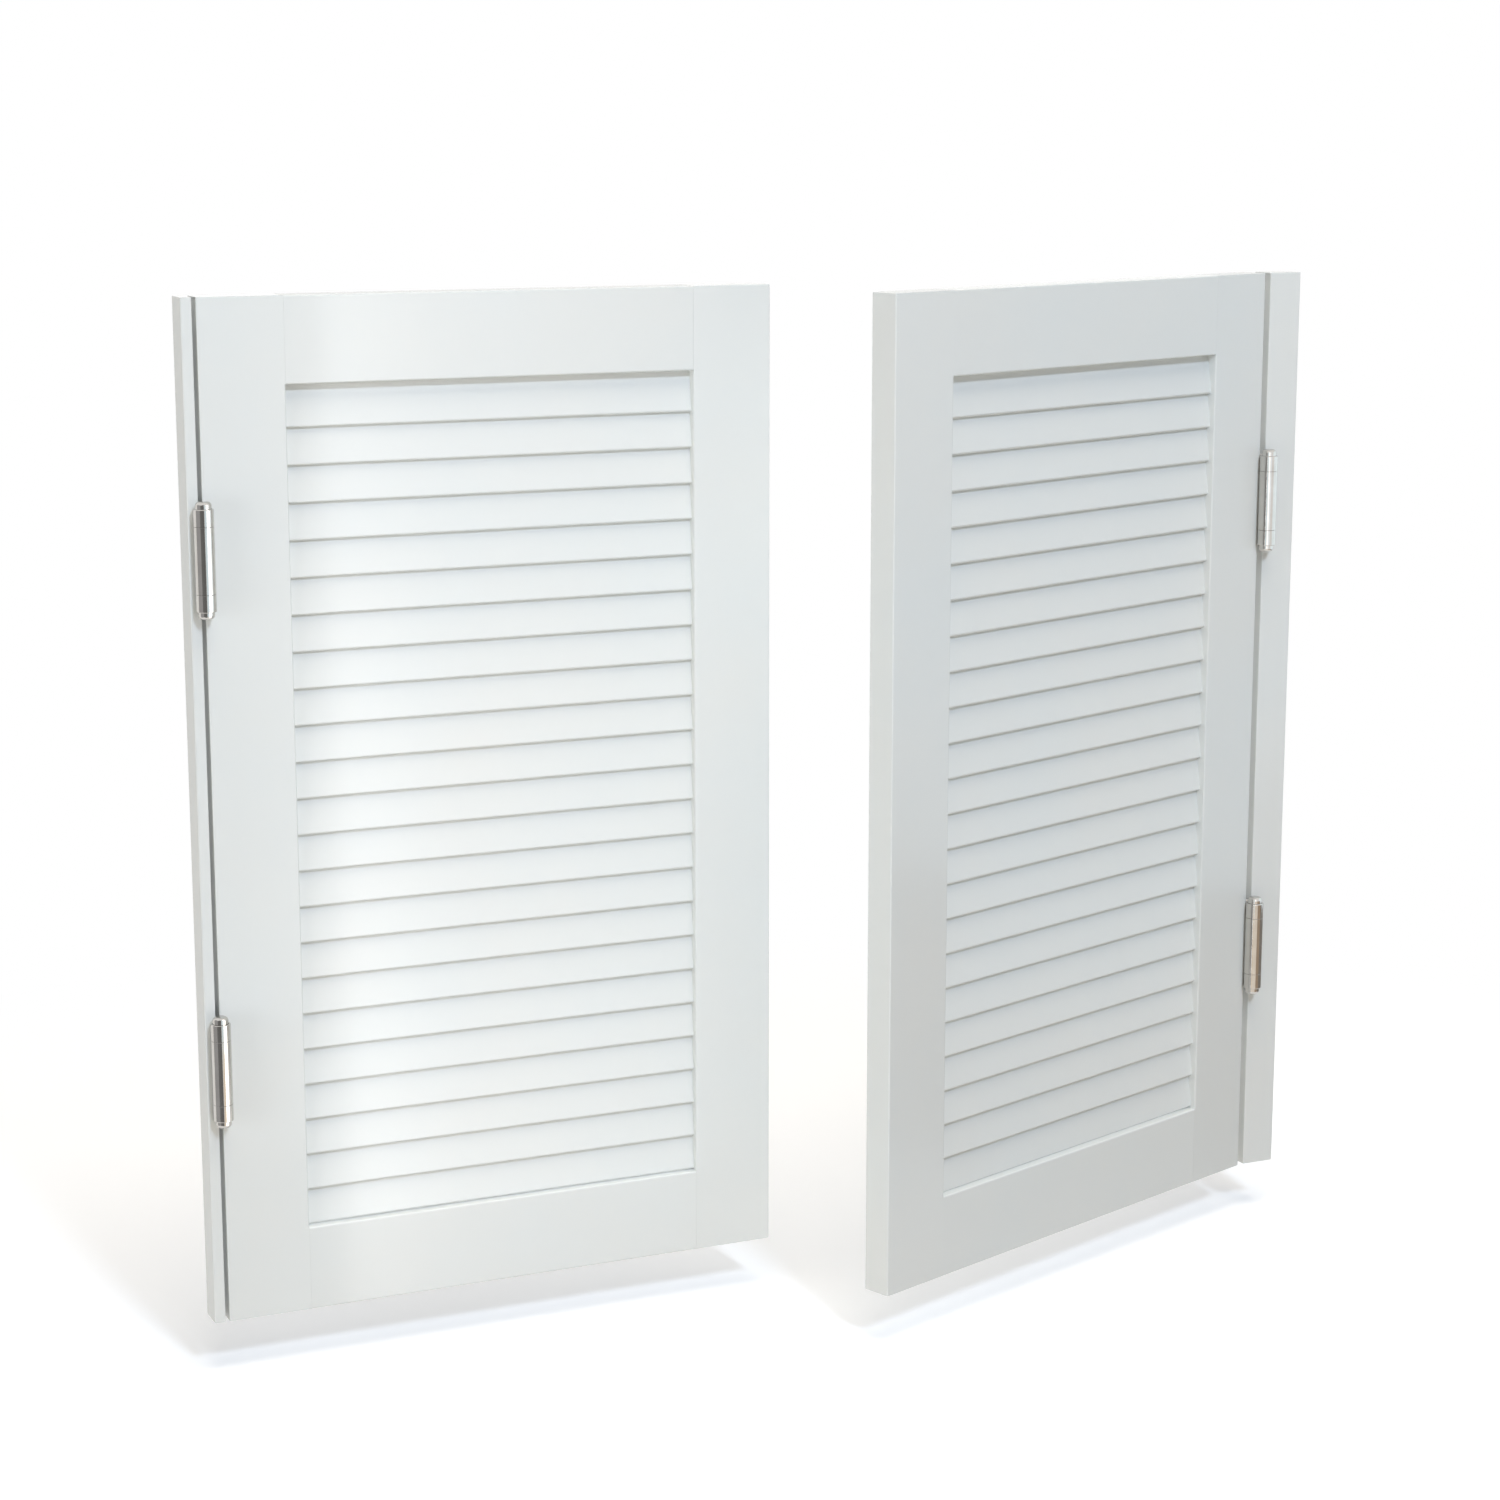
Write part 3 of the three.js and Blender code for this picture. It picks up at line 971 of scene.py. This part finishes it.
    def screw_frame(self, way: int, y: float, z: float) -> Matrix:
        """Place of a screw on a flange.

        Args:
            way: -1 for the jamb flange and 1 for the door flange.
            y: Place across the flange.
            z: Height on the flange.

        Returns:
            Matrix that takes the screw's +Z, which points out of the wood, to the plate's bare face.
        """
        bare = way * (self.plate_offset - self.plate / 2)
        aim = Vector((-way, 0, 0)).to_track_quat("Z", "Y").to_matrix().to_4x4()
        return Matrix.Translation((bare, y, z)) @ aim

    def countersink(self, way: int, y: float, z: float) -> Shape:
        """Make the cutter for a screw's seat, with the arguments of screw_frame."""
        cone = bmesh.new()
        bmesh.ops.create_cone(
            cone,
            cap_ends=True,
            segments=self.facets // 2,
            radius1=self.screw_shank + self.bore_air,
            radius2=self.screw_head + 3 * self.bore_air,
            depth=2 * self.plate,
        )
        bmesh.ops.transform(cone, matrix=self.screw_frame(way, y, z), verts=cone.verts)
        return cone

    def screws(self, way: int) -> Shape:
        """Make the four countersunk cross-head screws of a flange.

        Args:
            way: -1 for the jamb flange and 1 for the door flange.

        Returns:
            The screws as one group of separate solids.
        """
        group = bmesh.new()
        for y, z in self.screw_places():
            screw = self.screw()
            bmesh.ops.transform(screw, matrix=self.screw_frame(way, y, z), verts=screw.verts)
            mesh = bpy.data.meshes.new("screw")
            screw.to_mesh(mesh)
            screw.free()
            group.from_mesh(mesh)
            bpy.data.meshes.remove(mesh)
        return group

    def screw(self) -> Shape:
        """Make one screw with its head at z = 0 and its point down."""
        screw = bmesh.new()
        bmesh.ops.create_circle(
            screw, cap_ends=True, segments=self.facets // 2, radius=self.screw_head
        )
        face = screw.faces[:]
        bmesh.ops.inset_region(screw, faces=face, thickness=0.35 * self.screw_head, use_even_offset=True)
        arm = 0.16 * self.screw_head
        for axis in (Vector((1, 0, 0)), Vector((0, 1, 0))):
            for side in (-1, 1):
                inner = [
                    part
                    for part in screw.faces
                    if all(vert.co.length < 0.75 * self.screw_head for vert in part.verts)
                ]
                edges = {edge for part in inner for edge in part.edges}
                verts = {vert for part in inner for vert in part.verts}
                bmesh.ops.bisect_plane(
                    screw,
                    geom=[*verts, *edges, *inner],
                    dist=TOUCH,
                    plane_co=side * arm * axis,
                    plane_no=axis,
                )
        cross = []
        for part in screw.faces:
            centre = part.calc_center_median()
            inside = all(vert.co.length < 0.75 * self.screw_head for vert in part.verts)
            if inside and (abs(centre.x) < arm or abs(centre.y) < arm):
                cross.append(part)
        sunk = bmesh.ops.extrude_face_region(screw, geom=cross)["geom"]
        floor = [part for part in sunk if isinstance(part, bmesh.types.BMVert)]
        bmesh.ops.delete(screw, geom=cross, context="FACES_ONLY")
        bmesh.ops.translate(screw, vec=(0, 0, -self.screw_recess), verts=floor)
        taper = [(self.screw_shank, -self.screw_sink), (self.screw_shank, -0.7 * self.screw_length)]
        taper.append((0.2 * self.screw_shank, -self.screw_length))
        radius, height = self.screw_head, 0.0
        for next_radius, next_height in taper:
            rim = [edge for edge in screw.edges if edge.is_boundary]
            grown = bmesh.ops.extrude_edge_only(screw, edges=rim)["geom"]
            ring = [part for part in grown if isinstance(part, bmesh.types.BMVert)]
            share = next_radius / radius
            bmesh.ops.scale(screw, vec=(share, share, 1), verts=ring)
            bmesh.ops.translate(screw, vec=(0, 0, next_height - height), verts=ring)
            radius, height = next_radius, next_height
        bmesh.ops.edgeloop_fill(screw, edges=[edge for edge in screw.edges if edge.is_boundary])
        return screw

    def plug(self, low: float, high: float) -> Shape:
        """Make the round plug of a barrel's end, with its upper rim rounded.

        Args:
            low: z of its lower end.
            high: z of its upper end.

        Returns:
            The plug.
        """
        radius = self.bore - self.bore_air
        plug = bmesh.new()
        bmesh.ops.create_cone(
            plug,
            cap_ends=True,
            segments=self.facets,
            radius1=radius,
            radius2=radius,
            depth=high - low,
        )
        bmesh.ops.translate(plug, vec=(0, 0, (low + high) / 2), verts=plug.verts)
        rim = [edge for edge in plug.edges if all(near(end.co.z, high) for end in edge.verts)]
        ease(plug, rim, self.tip_rounding, segments=6)
        return plug

    def cap(self, barrel: Barrel) -> Shape:
        """Make the cap whose tip stands out on top of a barrel.

        Args:
            barrel: Which barrel it closes.

        Returns:
            The cap.
        """
        cap = self.plug(self.barrel_top - self.cap_skirt, self.barrel_top + self.tip_height)
        bmesh.ops.translate(cap, vec=(0, barrel.value * self.line.barrel_axis, 0), verts=cap.verts)
        return cap

    def pin(self, barrel: Barrel) -> Shape:
        """Make a barrel's pin, whose foot is the lower tip and which runs up through the spring.

        Args:
            barrel: Which barrel it holds together.

        Returns:
            The pin.
        """
        shoulder = self.barrel_top - self.pin_foot
        pin = self.plug(shoulder, self.barrel_top + self.tip_height)
        base = next(face for face in pin.faces if all(near(end.co.z, shoulder) for end in face.verts))
        margin = self.bore - self.bore_air - self.pin_radius
        bmesh.ops.inset_region(pin, faces=[base], thickness=margin, use_even_offset=True)
        grown = bmesh.ops.extrude_face_region(pin, geom=[base])["geom"]
        bmesh.ops.delete(pin, geom=[base], context="FACES_ONLY")
        end = [part for part in grown if isinstance(part, bmesh.types.BMVert)]
        reach = shoulder + self.barrel_top - self.cap_skirt
        bmesh.ops.translate(pin, vec=(0, 0, -reach), verts=end)
        bmesh.ops.rotate(pin, matrix=Matrix.Rotation(math.pi, 3, "X"), verts=pin.verts)
        bmesh.ops.translate(pin, vec=(0, barrel.value * self.line.barrel_axis, 0), verts=pin.verts)
        return pin

    def spring(self, barrel: Barrel) -> Shape:
        """Wind the torsion spring of a barrel round its pin.

        Args:
            barrel: Which barrel it drives.

        Returns:
            The spring.
        """
        wire = bmesh.new()
        bmesh.ops.create_circle(wire, cap_ends=True, segments=8, radius=self.spring_wire)
        upright = Matrix.Rotation(math.pi / 2, 4, "X")
        start = Matrix.Translation((self.spring_coil, 0, -self.spring_height / 2))
        bmesh.ops.transform(wire, matrix=start @ upright, verts=wire.verts)
        steps = self.spring_curls * 16
        bmesh.ops.spin(
            wire,
            geom=[*wire.verts, *wire.edges, *wire.faces],
            cent=(0, 0, 0),
            axis=(0, 0, 1),
            dvec=(0, 0, self.spring_height / steps),
            angle=math.tau * self.spring_curls,
            steps=steps,
        )
        bmesh.ops.translate(wire, vec=(0, barrel.value * self.line.barrel_axis, 0), verts=wire.verts)
        return wire


# Studio


@dataclass(frozen=True)
class Softbox:
    """A square soft light that faces the doors."""

    name: str
    place: tuple[float, float, float]
    width: float
    watts: float
    colour: str

    def build(self, aim: Vector) -> None:
        """Hang the light.

        Args:
            aim: Point that it faces.
        """
        lamp = bpy.data.lights.new(self.name, "AREA")
        lamp.shape = "SQUARE"
        lamp.size = self.width
        lamp.energy = self.watts
        lamp.color = linear(self.colour)[:3]
        light = bpy.data.objects.new(self.name, lamp)
        way = aim - Vector(self.place)
        light.matrix_world = Matrix.Translation(self.place) @ way.to_track_quat("-Z", "Y").to_matrix().to_4x4()
        light.visible_glossy = False
        bpy.context.scene.collection.objects.link(light)


@dataclass(frozen=True)
class ReflectionCard:
    """An upright board that shows only in what is polished or painted with a sheen."""

    name: str
    start: tuple[float, float]  # x and y of its near end
    end: tuple[float, float]
    first: str  # colour at its near end, and at the other
    last: str
    strength: float
    low: float = -0.95
    high: float = 0.95

    def build(self) -> None:
        """Stand the card up where no camera sees it."""
        board = bmesh.new()
        bmesh.ops.create_grid(board, size=0.5)
        way = Vector((self.end[0] - self.start[0], self.end[1] - self.start[1], 0))
        bmesh.ops.translate(board, vec=(0.5, 0.5, 0), verts=board.verts)
        bmesh.ops.rotate(board, matrix=Matrix.Rotation(math.pi / 2, 3, "X"), verts=board.verts)
        bmesh.ops.scale(board, vec=(way.length, 1, self.high - self.low), verts=board.verts)
        mesh = bpy.data.meshes.new(self.name)
        board.to_mesh(mesh)
        board.free()
        mesh.materials.append(self.glow(way.length))
        card = bpy.data.objects.new(self.name, mesh)
        card.location = (*self.start, self.low)
        card.rotation_euler = (0, 0, math.atan2(way.y, way.x))
        for rays in ("camera", "diffuse", "transmission", "volume_scatter", "shadow"):
            setattr(card, f"visible_{rays}", False)
        bpy.context.scene.collection.objects.link(card)

    def glow(self, width: float) -> bpy.types.Material:
        """Make a glow that changes along the card.

        Args:
            width: Length of the card.

        Returns:
            The material.
        """
        material = bpy.data.materials.new(self.name)
        material.use_nodes = True
        tree = material.node_tree
        place = add_node(tree, "ShaderNodeTexCoord").outputs["Object"]
        across = add_node(tree, "ShaderNodeSeparateXYZ", {"Vector": place}).outputs["X"]
        share = add_node(tree, "ShaderNodeMapRange", {"Value": across, "From Max": width})
        tone = add_node(
            tree,
            "ShaderNodeMix",
            {0: share.outputs["Result"], MIX_A: linear(self.first), MIX_B: linear(self.last)},
            data_type="RGBA",
        )
        light = add_node(
            tree, "ShaderNodeEmission", {"Color": tone.outputs[MIX_COLOUR], "Strength": self.strength}
        )
        feed(tree, tree.nodes["Material Output"], {"Surface": light.outputs[0]})
        return material


@dataclass
class SheenTier:
    """Cards close to the left leaf, which give its slats and rails their sheen at one height."""

    name: str
    low: float
    high: float
    edge: float  # strength beside the hinge stile
    peak: float
    corners: tuple[tuple[float, float], ...] = (
        (0.270, -0.645),
        (0.306, -0.614),
        (0.409, -0.527),
        (0.617, -0.353),
    )  # in one line that is edge-on to the right hinges
    fall: str = "#CCCCCC"  # share of the peak where the fading card begins
    fade: str = "#B4B4B4"

    def build(self) -> None:
        """Stand the three cards side by side."""
        span = (self.low, self.high)
        fallen = self.peak * linear(self.fall)[0]
        white = "#FFFFFF"
        ReflectionCard(f"{self.name} edge card", *self.corners[0:2], white, white, self.edge, *span).build()
        ReflectionCard(f"{self.name} bright card", *self.corners[1:3], white, self.fall, self.peak, *span).build()
        ReflectionCard(f"{self.name} fading card", *self.corners[2:4], white, self.fade, fallen, *span).build()


@dataclass
class Studio:
    """Plain pale floor, soft light and the camera."""

    camera_place: tuple[float, float, float] = (-668.9 * MM, -2670.0 * MM, 601.8 * MM)
    camera_down: float = math.radians(11.19)
    camera_right: float = math.radians(24.24)  # from straight along the doorway's depth
    focal_px: float = 3172.7
    image_px: float = 1500.0
    sensor_mm: float = 36.0
    floor_drop: float = 0.05  # below the leaves
    floor_width: float = 14.0
    board_drop: float = 0.5
    board_colour: str = "#E4DCD0"
    floor_shade: float = 0.95  # share of the floor's real shading that the camera sees near the doors
    floor_light: float = 0.88  # brightness of the lit floor without its glow
    floor_fade: tuple[float, float] = (0.65, 1.5)  # distances over which that share falls to nothing
    ambient: float = 0.13

    def build(self) -> None:
        """Set up everything that isn't part of the doors."""
        self.camera()
        self.floor()
        self.bounce_board()
        self.world()
        low, high = (Vector(corner) for corner in CAD_BOX)
        middle = (low + high) / 2
        Softbox("front softbox", (0.56, -4.2, 3.35), 0.7, 133.0, "#DAE9FC").build(middle)
        Softbox("ceiling softbox", (0.56, -1.39, 4.83), 3.0, 162.0, "#FFF5E6").build(middle)
        Softbox("left softbox", (-4.27, -1.39, 0.0), 2.5, 82.0, "#FAFDFF").build(middle)
        Softbox("back softbox", (0.56, 4.4, 2.6), 2.5, 130.0, "#F4F8FF").build(middle)
        for tier in (
            SheenTier("bottom", -0.75, -0.5, 1.9, 4.3),
            SheenTier("low", -0.5, -0.2, 3.2, 6.8),
            SheenTier("middle", -0.2, 0.2, 2.8, 5.9),
            SheenTier("high", 0.2, 0.6, 1.9, 4.7),
        ):
            tier.build()
        ReflectionCard("fading card", (0.56, -1.05), (0.95, -1.05), "#FFFFFF", "#A8A8A8", 2.8, low=-0.3).build()
        ReflectionCard("pale card", (0.95, -1.05), (1.2, -1.05), "#F0F6FF", "#F0F6FF", 1.4, low=-0.3).build()
        ReflectionCard("cream card", (0.43, -1.05), (1.25, -1.05), "#F2EAE0", "#EADFD2", 1.15, high=-0.3).build()
        ReflectionCard("brown card", (1.25, -1.05), (2.3, -1.05), "#B4A08C", "#B4A08C", 1.0, high=-0.3).build()
        ReflectionCard("side card", (-0.06, -1.05), (0.426, -1.05), "#B4C6CE", "#EAF6FF", 1.5, low=-0.5).build()
        ReflectionCard("warm card", (-0.06, -1.05), (0.426, -1.05), "#EEDFCC", "#EEDFCC", 1.2, high=-0.5).build()
        ReflectionCard("dark flag", (-1.5, -1.05), (-0.12, -1.05), "#808080", "#707070", 1.0).build()
        ReflectionCard("left grey card", (-1.5, -1.05), (-1.5, 0.5), "#AEAEB0", "#AEAEB0", 1.0).build()
        ReflectionCard("right grey card", (2.4, -1.5), (2.4, 1.0), "#BEC8CE", "#BEC8CE", 2.2, low=-0.5).build()
        ReflectionCard("right low card", (2.4, -1.5), (2.4, 1.0), "#8C8680", "#8C8680", 1.0, high=-0.5).build()
        bpy.context.scene.view_settings.view_transform = "Standard"

    def camera(self) -> None:
        """Stand the camera where the photograph was taken from."""
        lens = bpy.data.cameras.new("camera")
        lens.sensor_width = self.sensor_mm
        lens.lens = self.sensor_mm * self.focal_px / self.image_px
        camera = bpy.data.objects.new("camera", lens)
        camera.location = self.camera_place
        camera.rotation_euler = (math.pi / 2 - self.camera_down, 0, -self.camera_right)
        bpy.context.scene.collection.objects.link(camera)
        bpy.context.scene.camera = camera

    def seen_white(self, tree: bpy.types.NodeTree) -> bpy.types.NodeSocket:
        """Tell rays that show the background from rays that light the doors.

        Args:
            tree: Node tree to add to.

        Returns:
            A number that is 1 for camera, glossy and transmission rays.
        """
        path = add_node(tree, "ShaderNodeLightPath").outputs
        mirror = add_node(
            tree,
            "ShaderNodeMath",
            {0: path["Is Glossy Ray"], 1: path["Is Transmission Ray"]},
            operation="MAXIMUM",
        )
        seen = add_node(
            tree,
            "ShaderNodeMath",
            {0: path["Is Camera Ray"], 1: mirror.outputs[0]},
            operation="MAXIMUM",
        )
        return seen.outputs[0]

    def sheet(self, name: str, drop: float) -> bpy.types.Object:
        """Lay a wide flat sheet below the doors.

        Args:
            name: Name of the sheet.
            drop: How far it lies below the leaves.

        Returns:
            The sheet, marked as part of the stage.
        """
        plane = bmesh.new()
        bmesh.ops.create_grid(plane, size=self.floor_width / 2)
        bmesh.ops.translate(plane, vec=(0, 0, Vector(CAD_BOX[0]).z - drop), verts=plane.verts)
        mesh = bpy.data.meshes.new(name)
        plane.to_mesh(mesh)
        plane.free()
        material = bpy.data.materials.new(f"pale {name}")
        material.use_nodes = True
        mesh.materials.append(material)
        sheet = bpy.data.objects.new(name, mesh)
        bpy.context.scene.collection.objects.link(sheet)
        return sheet

    def bounce_board(self) -> None:
        """Lay a warm board that throws light up at the doors and that no camera sees."""
        board = self.sheet("bounce board", self.board_drop)
        board.visible_camera = False
        board.visible_glossy = False
        tree = board.data.materials[0].node_tree
        look = {"Base Color": linear(self.board_colour), "Roughness": 0.9}
        feed(tree, tree.nodes["Principled BSDF"], look)

    def floor(self) -> None:
        """Lay the white floor that the camera sees, with the shadow of the doors on it."""
        floor = self.sheet("floor", self.floor_drop)
        for rays in ("diffuse", "glossy", "shadow"):
            setattr(floor, f"visible_{rays}", False)
        tree = floor.data.materials[0].node_tree
        shader = tree.nodes["Principled BSDF"]
        feed(tree, shader, {"Base Color": (1, 1, 1, 1), "Roughness": 0.9})
        shade = self.floor_share(tree)
        lost = add_node(
            tree, "ShaderNodeMath", {0: shade, 1: -self.floor_light, 2: 1}, operation="MULTIPLY_ADD"
        )
        plain = add_node(tree, "ShaderNodeMath", {0: 1, 1: shade}, operation="SUBTRACT").outputs[0]
        glow = add_node(tree, "ShaderNodeMath", {0: lost.outputs[0], 1: plain}, operation="DIVIDE")
        white = add_node(tree, "ShaderNodeEmission", {"Strength": glow.outputs[0]})
        mixed = add_node(tree, "ShaderNodeMixShader", {0: plain, 1: shader.outputs[0], 2: white.outputs[0]})
        feed(tree, tree.nodes["Material Output"], {"Surface": mixed.outputs[0]})

    def floor_share(self, tree: bpy.types.NodeTree) -> bpy.types.NodeSocket:
        """Work out how much of the floor's own shading the camera sees at each place.

        Args:
            tree: Node tree to add to.

        Returns:
            A number that falls from floor_shade near the doors to nothing far from them.
        """
        place = add_node(tree, "ShaderNodeTexCoord").outputs["Object"]
        low, high = (Vector(corner) for corner in CAD_BOX)
        middle = (low + high) / 2
        middle.z = low.z - self.floor_drop
        away = add_node(tree, "ShaderNodeVectorMath", {0: place, 1: middle}, operation="DISTANCE")
        share = add_node(
            tree,
            "ShaderNodeMapRange",
            {
                "Value": away.outputs["Value"],
                "From Min": self.floor_fade[0],
                "From Max": self.floor_fade[1],
                "To Min": self.floor_shade,
                "To Max": 0.0,
            },
            interpolation_type="SMOOTHSTEP",
        )
        return share.outputs["Result"]

    def world(self) -> None:
        """Surround the doors with white for the eye and a dimmer even light."""
        world = bpy.data.worlds.new("studio")
        world.use_nodes = True
        tree = world.node_tree
        soft = tree.nodes["Background"]
        feed(tree, soft, {"Color": (1, 1, 1, 1), "Strength": self.ambient})
        white = add_node(tree, "ShaderNodeBackground", {"Color": (1, 1, 1, 1), "Strength": 1.0})
        mixed = add_node(
            tree,
            "ShaderNodeMixShader",
            {0: self.seen_white(tree), 1: soft.outputs[0], 2: white.outputs[0]},
        )
        feed(tree, tree.nodes["World Output"], {"Surface": mixed.outputs[0]})
        bpy.context.scene.world = world


def main() -> None:
    """Build the doors and the studio round them."""
    logging.basicConfig(level=logging.INFO, format="%(message)s")
    sizes = LeafSizes.from_frame()
    for side in Side:
        line = HingeLine(side)
        JambStrip(side).build()
        Leaf(line, sizes).build()
        for level in Level:
            SpringHinge(line, level).build()
    Studio().build()


if __name__ == "__main__":
    main()
